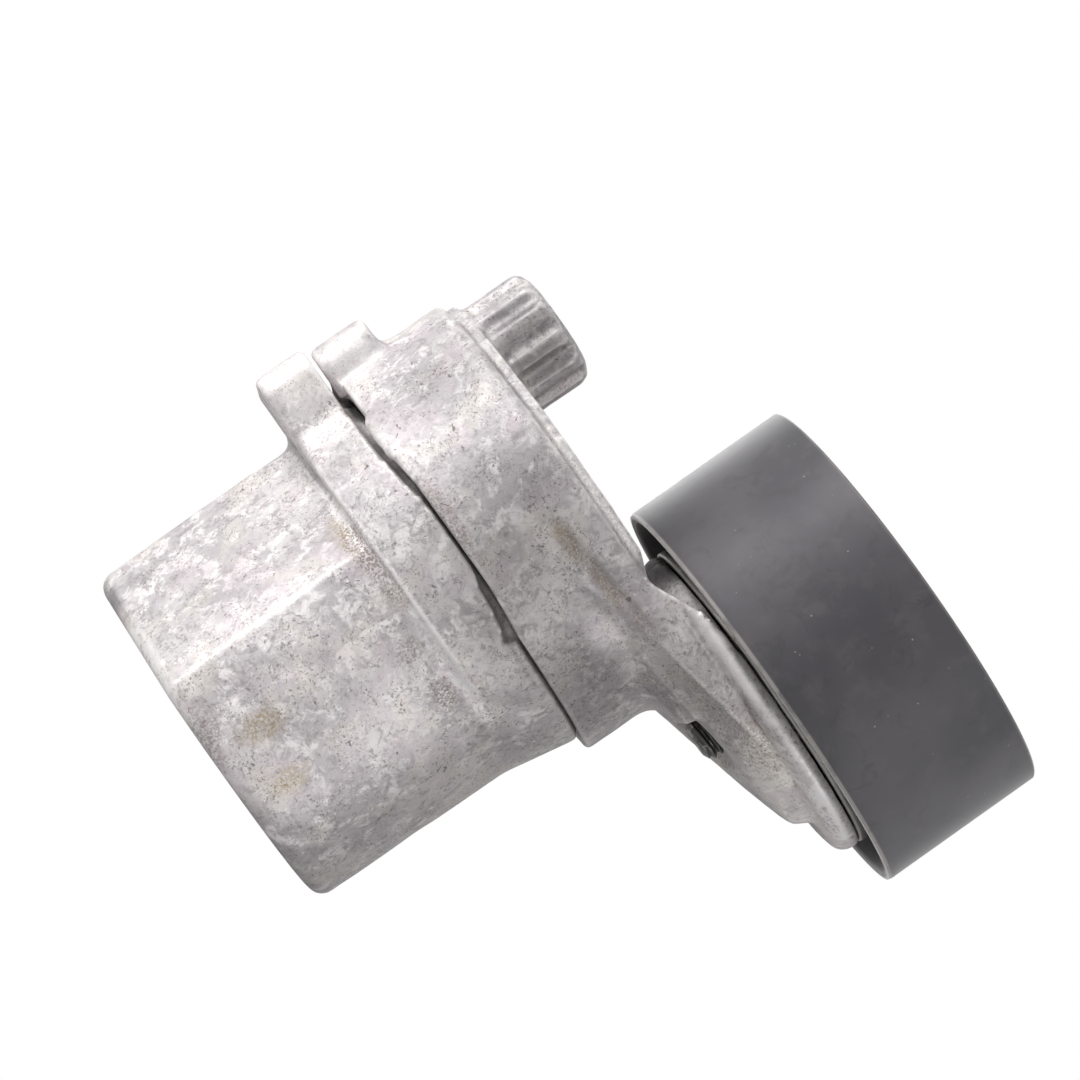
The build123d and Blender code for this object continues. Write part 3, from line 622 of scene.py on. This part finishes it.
looks = {
    "housing_skin": cast_aluminium("housing_skin", HOUSING_STAINS_AND_PAINTED_LIGHT, HOUSING_PAINTED_LIGHT_AND_SHADE,
                                   HOUSING_LIT_FACETS, 1),
    "arm_skin": cast_aluminium("arm_skin", ARM_STAINS_AND_PAINTED_LIGHT, ARM_PAINTED_LIGHT_AND_SHADE, [], 2),
    "pulley_steel": coated_steel(),
    "plated_steel": steel("zinc_plate", (0.36, 0.355, 0.34), (0.50, 0.49, 0.46),
                          (0.25, 0.17, 0.10), 0.34, 1.2),
    "dark_steel": steel("black_oxide", (0.10, 0.098, 0.096), (0.20, 0.195, 0.19),
                        (0.17, 0.10, 0.06), 0.36, 1.0),
    "spring_steel": steel("spring_coating", (0.03, 0.03, 0.033), (0.06, 0.06, 0.065),
                          (0.10, 0.07, 0.05), 0.42, 0.3),
    "bearing_steel": steel("ground_steel", (0.52, 0.52, 0.53), (0.66, 0.66, 0.67),
                           (0.40, 0.36, 0.30), 0.16, 0.5),
    "bushing_polymer": moulded("bushing_polymer", (0.060, 0.060, 0.062), (0.10, 0.10, 0.10),
                               0.55, 1.0),
    "damper_polymer": moulded("damper_polymer", (0.20, 0.165, 0.11), (0.30, 0.255, 0.18),
                              0.62, 3.0),
    "cage_polymer": moulded("cage_polymer", (0.50, 0.45, 0.33), (0.60, 0.55, 0.42), 0.50, 1.0),
    "seal_rubber": moulded("seal_rubber", (0.020, 0.019, 0.019), (0.040, 0.038, 0.038),
                           0.60, 1.0),
}


def dress(piece, look):
    piece.data.materials.clear()
    piece.data.materials.append(looks[look])


# ---- castings ----
def casting(node, name, softness):
    """Rebuilds a cast CAD node on an even grid, with the soft edges that a die leaves."""
    piece = put(name, nodes[node].data.copy())
    remesh = piece.modifiers.new("grid", "REMESH")
    remesh.mode = "VOXEL"
    remesh.voxel_size = CAST_VOXEL * MM * 1
    applied(piece)
    points = get_points(piece.data)
    edges = get_edges(piece.data)
    points = soften(points, edges, softness(*points.T), CAST_ROUNDS, push=0.51)
    return piece, points, edges


def finish_casting(piece, points, node, body, look):
    set_points(piece.data, points)
    piece.data.shade_smooth()
    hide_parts(node)
    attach(piece, body)
    dress(piece, look)


def cast_relief(points, seed):
    """Waviness, flow ripples and shallow dents of a used die casting."""
    relief = 0.07 * layered_noise(points, 9.0, seed, 2)
    relief += 0.028 * layered_noise(points, 2.2, seed + 20, 2)
    dents = value_noise(points, 3.4, seed + 40)
    relief -= 0.16 * rise(dents, 0.62, 0.85)
    return relief


def housing_softness(x, y, z):
    """The body's ridges stay crisper than the rest."""
    by_ridge = bell(x, BODY_RIDGE_X, 2.0) * rise(np.abs(y), 26.0, 27.5) * fade(z, 35, 37)
    return 1 - 0.7 * by_ridge


def housing_casting():
    piece, points, edges = casting("base_housing", "housing_casting", housing_softness)
    x, y, z = points.T
    radius = np.hypot(x, y)
    outer = rise(radius, 24.0, 27.0) * (z < 50)
    # Fillets where the flange and the ear meet the body, and the flare on the pulley side.
    by_flange = bell(z, FLANGE_REAR, 1.6) * rise(radius, 28.5, 30.0)
    points = soften(points, edges, by_flange * outer, 5)
    by_flare = rise(x, 11, 16) * bell(z, 41, 5.0) * rise(radius, 28.0, 30.0)
    points = soften(points, edges, by_flare * outer, 24)
    by_ear = bell(x, EAR_ROOT_X, 3.4) * bell(z, EAR_ROOT_Z, 3.4)
    points = soften(points, edges, by_ear * outer, 60)
    set_points(piece.data, points)
    normals = get_normals(piece.data)
    relief = cast_relief(points, 3)
    # A fine crease runs along the flare, and a faint one across the flange.
    relief -= 0.28 * bell(z, 45.6, 0.35) * rise(x, 14.2, 15.2) * fade(x, 22, 24)
    relief -= 0.12 * bell(z, 45.9, 0.4) * rise(x, -10.5, -8) * fade(x, -1, 1.5)
    points += normals * (relief * outer * rise(z, 0.3, 1.5))[:, None]
    points[:, 2] = np.maximum(points[:, 2], 0.0)
    # The ear's front face has a draft towards the far side.
    on_ear = fade(x, LOCK_DRAFT_X - 1.5, LOCK_DRAFT_X) * rise(z, 44.0, 46.0)
    points[:, 2] -= EAR_DRAFT * (y - EAR_NEAR_Y) * on_ear
    finish_casting(piece, points, "base_housing", "base", "housing_skin")


def arm_softness(x, y, z):
    """The wrench boss keeps crisper flutes than the rest."""
    on_boss = fade(np.hypot(x - BOSS_X, y - BOSS_Y), 11.0, 12.0) * rise(z, 70.5, 72.0)
    return 1 - 0.7 * on_boss


def beam_relief(x, z, side):
    """The beam's ridge, the valley in front of it, a crease and two fine flash lines."""
    facing_side = rise(side, 0.5, 0.8)
    valley = bell(z, on_line(BEAM_VALLEY, x), 1.0) * rise(x, -2, 5) * fade(x, 24, 34)
    ridge = bell(z, on_line(BEAM_RIDGE, x), 0.9) * rise(x, 6, 10) * fade(x, 26, 34)
    crease = bell(z, on_line(BEAM_CREASE, x), 0.25) * rise(x, 0.5, 1.5) * fade(x, 4.5, 5.5)
    relief = (0.22 * ridge - 0.40 * valley) * facing_side
    relief -= 0.30 * crease * rise(side, 0.6, 0.8)
    for line in FLASH_LINES:
        flash = bell(z, on_line(line, x), 0.4) * rise(x, 24, 28) * fade(x, 44, 50)
        relief += 0.30 * flash * rise(side, 0.2, 0.5)
    return relief


def arm_casting():
    piece, points, edges = casting("tension_arm", "arm_casting", arm_softness)
    x, y, z = points.T
    outside = rise(np.hypot(x, y), CUP_SIDE, CUP_SIDE + 1)
    # The beam grows out of the cup without a corner.
    root = rise(x, 0, 8) * fade(x, 30, 38) * rise(z, 54, 58) * fade(z, 68, 70) * outside
    points = soften(points, edges, root, 30)
    flank = rise(x, 24, 32) * fade(z, 69.5, 70.5) * outside
    points = soften(points, edges, flank, 6)
    by_lug = bell(x, LUG_ROOT_X, 2.4) * bell(z, LUG_ROOT_Z, 2.6) * outside
    points = soften(points, edges, by_lug, 50)
    set_points(piece.data, points)
    normals = get_normals(piece.data)
    radius = np.hypot(x, y)
    outside = np.clip(rise(radius, CUP_SIDE, CUP_SIDE + 1) + rise(z, 66, 67.5), 0, 1)
    side = np.abs(normals[:, 1])
    relief = cast_relief(points, 7) + beam_relief(x, z, side)
    # The cup's front band stands up from a fine groove, and the disc's edge is a raised bead.
    on_band = rise(radius, 33.0, 33.6) * fade(x, 13.5, 15)
    relief -= 0.35 * bell(z, BAND_GROOVE_Z, 0.32) * on_band
    on_edge = rise(x, 22, 28) * rise(side, 0.25, 0.6)
    relief += 0.45 * bell(z, DISC_BEAD_Z, 0.9) * on_edge
    relief -= 0.40 * bell(z, DISC_GROOVE_Z, 0.6) * on_edge
    points += normals * (relief * outside)[:, None]
    # The lug's rear face has a draft towards the far side.
    on_lug = fade(x, LOCK_DRAFT_X - 3.5, LOCK_DRAFT_X - 2) * fade(z, 48.5, 51.0)
    points[:, 2] += LUG_DRAFT * (y - LUG_NEAR_Y) * on_lug
    finish_casting(piece, points, "tension_arm", "arm", "arm_skin")


# ---- turned and pressed pieces ----
def stands_for(piece, node, body, slot):
    """Puts a piece in the place of a CAD node. Its finish has the slot's name."""
    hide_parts(node)
    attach(piece, body)
    dress(piece, slot)


def pulley_drum():
    """Pressed drum with a web and a bearing seat, its edges rolled round."""
    inner = PULLEY_RADIUS - 1.7
    seat = BEARING_RADIUS + 1.7
    web_rear = BEARING_MIDDLE + 0.8
    web_front = web_rear + 1.8
    lip = BEARING_FRONT + 2.4
    groove_rear, groove_front = BEARING_FRONT + 0.1, BEARING_FRONT + 1.3
    groove_radius = BEARING_RADIUS + 0.9
    bore = BEARING_RADIUS + 0.01
    stop_radius = BEARING_RADIUS - 1.4
    stop_front, stop_rear = BEARING_REAR - 0.01, BEARING_REAR - 0.9
    outline = [(PULLEY_RADIUS - 0.15, PULLEY_REAR + 0.10), (PULLEY_RADIUS, PULLEY_REAR + 0.75)]
    outline += [(PULLEY_RADIUS, z) for z in np.linspace(PULLEY_REAR + 2, PULLEY_FRONT - 1.2, 12)]
    outline += [(PULLEY_RADIUS, PULLEY_FRONT - 0.25), (PULLEY_RADIUS - 0.25, PULLEY_FRONT)]
    outline += [(inner + 0.2, PULLEY_FRONT), (inner, PULLEY_FRONT - 0.3)]
    outline += bend((inner, web_front), (0, 1), (-1, 0), 2.4)
    outline += bend((seat, web_front), (1, 0), (0, 1), 2.0)
    outline += [(seat, lip - 0.3), (seat - 0.3, lip)]
    outline += [(BEARING_RADIUS + 0.2, lip), (BEARING_RADIUS, lip - 0.2)]
    outline += [(BEARING_RADIUS, groove_front), (groove_radius, groove_front)]
    outline += [(groove_radius, groove_rear), (bore, groove_rear), (bore, stop_front)]
    outline += [(stop_radius, stop_front), (stop_radius, stop_rear)]
    outline += [(seat - 0.5, stop_rear), (seat, BEARING_REAR - 0.4)]
    outline += bend((seat, web_rear), (0, -1), (1, 0), 1.4)
    outline += bend((inner, web_rear), (-1, 0), (0, -1), 2.0)
    outline += [(inner, PULLEY_REAR + 0.9), (inner + 0.25, PULLEY_REAR + 0.25)]
    outline += [(inner + 0.8, PULLEY_REAR), (PULLEY_RADIUS - 0.55, PULLEY_REAR)]
    piece = turned("pulley_drum", outline, PULLEY_X, sharp=35)
    stands_for(piece, "pulley_shell", "pulley", "pulley_steel")
    return piece


def rear_dust_shield():
    """Dished disc: a flat hub, a cone towards the arm and a flat rim."""
    low, high = span("rear_shield")
    rim = half_width("rear_shield")
    hub, hub_rear = 12.2, high[2] - 1.0
    outline = [(SHIELD_BORE, hub_rear), (hub, hub_rear), (17, 79.6), (25.4, 75.8),
               (26.4, low[2]), (rim, low[2]), (rim, low[2] + 1.6), (26.0, 76.9), (17.5, 80.7),
               (hub + 0.4, high[2]), (SHIELD_BORE, high[2])]
    piece = turned("rear_dust_shield", rounded(outline, 0.45), PULLEY_X)
    stands_for(piece, "rear_shield", "arm", "plated_steel")


def front_dust_shield():
    """Thin washer in front of the bearing, with a bevelled rim."""
    low, high = span("front_shield")
    rim = half_width("front_shield")
    outline = [(SHIELD_BORE, low[2]), (rim - 0.2, low[2]), (rim, low[2] + 0.3),
               (rim - 0.5, high[2]), (SHIELD_BORE, high[2])]
    piece = turned("front_dust_shield", rounded(outline, 0.15), PULLEY_X)
    stands_for(piece, "front_shield", "arm", "plated_steel")


def pulley_screw():
    """Flanged hexagon screw with a real thread at its end."""
    low, high = span("pulley_bolt")
    rear, front = low[2], high[2]
    seat = span("front_shield")[1][2]
    axis = 0.02                   # the outline stops just short of the axis
    core, major, pitch = 3.3, 3.95, 1.25
    thread_end = rear + 9.0
    half_flats, half_corners = 6.5, 7.45
    bevel = 1.3
    on_hexagon = 20.0             # marks an outline point that lies on the hexagon
    outline = [(axis, rear + 0.25), (core - 0.9, rear)]
    outline += [(core, z) for z in np.arange(rear + 0.5, thread_end, 0.125)]
    outline += [(major, thread_end + 0.5), (major, seat - 0.3), (major + 0.3, seat)]
    outline += [(8.3, seat), (8.5, seat + 0.25), (8.5, seat + 0.6), (8.3, seat + 0.85)]
    outline += [(6.9, seat + 1.45)]
    outline += [(on_hexagon, z) for z in np.linspace(seat + 1.6, front - bevel, 5)]
    outline += [(on_hexagon, front - bevel + 0.26 * k) for k in range(1, 5)]
    outline += [(5.6, front), (3.6, front), (3.2, front - 0.5), (axis, front - 0.55)]

    def shape(r, z, angles):
        if r == on_hexagon:
            flat = np.cos((angles + math.pi / 6) % (math.pi / 3) - math.pi / 6)
            crown = half_corners - 1.55 * max(0.0, (z - (front - bevel)) / bevel) ** 1.2
            return np.minimum(half_flats / flat, crown)
        if r == core and z < thread_end:
            wave = np.abs(((z / pitch - angles / TURN) % 1.0) * 2 - 1)
            run_in = min(1.0, z - rear)
            return core - 0.05 + (major - core) * rise(wave, 0.15, 0.85) * run_in
        return np.full(len(angles), r)

    piece = turned("pulley_screw", outline, PULLEY_X, 180, shape, sharp=28)
    stands_for(piece, "pulley_bolt", "arm", "dark_steel")


def bearing_seals():
    """Rubber seals with a stepped face and a thin lip at the inner ring."""
    for node, name, side in (("bearing_seal_rear", "rear_seal", -1),
                             ("bearing_seal_front", "front_seal", 1)):
        low, high = span(node)
        outer = half_width(node)
        bore = INNER_RACE_RADIUS + 0.06
        face, back = (high[2], low[2]) if side > 0 else (low[2], high[2])
        middle = (outer + bore) / 2
        shallow, deep = face - side * 0.2, face - side * 0.30
        outline = [(bore, back), (bore, face - side * 0.25), (bore + 0.7, face - side * 0.05),
                   (bore + 1.1, deep), (middle - 0.4, deep), (middle, face), (outer - 0.9, face),
                   (outer - 0.6, shallow), (outer, shallow), (outer, back)]
        piece = turned(name, rounded(outline, 0.12), PULLEY_X, 160)
        stands_for(piece, node, "pulley", "seal_rubber")


def coil_spring():
    """Round wire coil between the housing and the arm."""
    low, high = span("torsion_spring")
    wire, turns, around, per_turn = 2.3, 8, 14, 72
    mean = half_width("torsion_spring") - wire
    start, end = low[2] + wire, high[2] - wire
    count = turns * per_turn + 1
    points = []
    for t in np.linspace(0, 1, count):
        a = -TURN * turns * t
        z = start + (end - start) * t
        for k in range(around):
            w = TURN * k / around
            r = mean + wire * math.cos(w)
            points.append((r * math.cos(a), r * math.sin(a), z + wire * math.sin(w)))
    faces = [(i * around + k, i * around + (k + 1) % around, (i + 1) * around + (k + 1) % around,
              (i + 1) * around + k) for i in range(count - 1) for k in range(around)]
    faces += [tuple(range(around))[::-1], tuple((count - 1) * around + k for k in range(around))]
    mesh = make_mesh("coil_spring", points, faces)
    smooth_by_angle(mesh, 40)
    piece = put("coil_spring", mesh)
    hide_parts("torsion_spring")
    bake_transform(piece)
    dress(piece, "spring_steel")


def dress_frame_nodes():
    """Each CAD node gets its finish; the ones that no piece replaces show it."""
    slots = {s["node"]: s["material_slot"] for s in frame["record"]["subparts"]}
    for node, part in nodes.items():
        slot = slots[node]
        dress(part, slot if slot in looks else "housing_skin")
        weld = part.modifiers.new("weld", "WELD")
        weld.merge_threshold = 0.002 * MM


# ---- stage ----
def studio_world():
    """White backdrop for the camera; weaker light from its side and from the image's bottom."""
    world = bpy.data.worlds.new("studio")
    bpy.context.scene.world = world
    world.use_nodes = True
    g = Graph(world.node_tree)
    lit = world.node_tree.nodes["Background"]
    toward = g.add("ShaderNodeTexCoord").outputs["Generated"]
    top = g.vector("DOT_PRODUCT", toward, (-0.96, 0.0, 0.28))
    camera_side = g.vector("DOT_PRODUCT", toward, (0.0, -1.0, 0.0))
    level = g.times(g.step(top, -0.8, 1.0, 0.46, 1.12), g.step(camera_side, 0.0, 1.0, 1.0, 0.52))
    g.set(lit, Color=(1.0, 1.0, 1.0), Strength=level)
    backdrop = g.add("ShaderNodeBackground", Color=(1.0, 1.0, 1.0), Strength=1.0)
    g.choose(g.camera_ray(), lit.outputs[0], backdrop.outputs[0], "World Output")


def softbox(name, place, aim, size, energy, only=None):
    """Round soft light; only is the one piece that it lights, if it doesn't light them all."""
    data = bpy.data.lights.new(name, "AREA")
    data.shape = "DISK"
    data.size = size * MM
    data.energy = energy
    lamp = put(name, data)
    place, aim = Vector(place) * MM, Vector(aim) * MM
    lamp.location = place
    lamp.rotation_euler = (aim - place).to_track_quat("-Z", "Y").to_euler()
    lamp.visible_camera = False
    if only is not None:
        receivers = bpy.data.collections.new(name + "_receivers")
        receivers.objects.link(only)
        lamp.light_linking.receiver_collection = receivers


def lights(drum):
    """A key from the image's top, a weak fill from its bottom, and two that graze the drum."""
    pulley_middle = (44, 0, 88)
    softbox("key_light", (-800, -420, 200), (10, 0, 50), 360, 5.6)
    softbox("low_fill", (600, -420, 160), (20, 0, 60), 500, 1.8)
    softbox("drum_top_edge", (-410, 890, 90), pulley_middle, 400, 2.2, drum)
    softbox("drum_low_edge", (990, 300, 90), pulley_middle, 500, 1.6, drum)


def pale_floor():
    """Plain pale floor that fades to the white backdrop far off and at a low view, and glows to light
    the part as a painted bounce.
    """
    reach = 6000
    corners = [(-reach, -reach, 0), (reach, -reach, 0), (reach, reach, 0), (-reach, reach, 0)]
    mesh = make_mesh("floor", corners, [(0, 1, 2, 3)])
    floor = put("floor", mesh)
    material, g, shader = new_material("pale_floor")
    g.set(shader, Base_Color=(0.86, 0.86, 0.86), Roughness=0.9)
    seen = g.camera_ray()
    here = g.place()
    low_view = g.step(g.add("ShaderNodeLayerWeight", Blend=0.5).outputs["Facing"], 0.79, 0.87)
    far = g.step(g.length(here), 350, 1200)
    # Seen from the part, the floor glows, brighter on the ear's side than on the pulley's: a painted
    # glow that stands in for light bounced back from the floor.
    glow = g.step(g.part_of(here, "X"), -300, 60, 1.5, 0.35)
    share = g.add("ShaderNodeMix", {"data_type": "FLOAT"}, Factor=seen)
    g.feed(share.inputs[2], 0.8)
    g.feed(share.inputs[3], g.math("MAXIMUM", low_view, far))
    strength = g.add("ShaderNodeMix", {"data_type": "FLOAT"}, Factor=seen)
    g.feed(strength.inputs[2], glow)
    g.feed(strength.inputs[3], 1.0)
    white = g.add("ShaderNodeEmission", Color=(1.0, 1.0, 1.0), Strength=strength.outputs[0])
    g.choose(share.outputs[0], shader.outputs[0], white.outputs[0], "Material Output")
    mesh.materials.append(material)


def make_camera():
    """Long lens level with the part's rear half, rolled so that the pivot axis rises at 35 degrees."""
    data = bpy.data.cameras.new("camera")
    data.sensor_width = 36
    data.lens = 140
    data.clip_start = 10 * MM
    data.clip_end = 20000 * MM
    camera = put("camera", data)
    eye = Vector((4.1, -658, 24)) * MM
    aim = Vector((4.1, 0, 60.7)) * MM
    roll = math.radians(35)
    back = (eye - aim).normalized()
    right = Vector((math.sin(roll), 0, math.cos(roll)))
    right = (right - back * right.dot(back)).normalized()
    up = back.cross(right)
    turn = Matrix((right, up, back)).transposed().to_4x4()
    camera.matrix_world = Matrix.Translation(eye) @ turn
    bpy.context.scene.camera = camera


# ---- build ----
dress_frame_nodes()
housing_casting()
arm_casting()
drum = pulley_drum()
rear_dust_shield()
front_dust_shield()
pulley_screw()
bearing_seals()
coil_spring()

studio_world()
lights(drum)
pale_floor()
make_camera()
bpy.context.scene.view_settings.view_transform = "Standard"
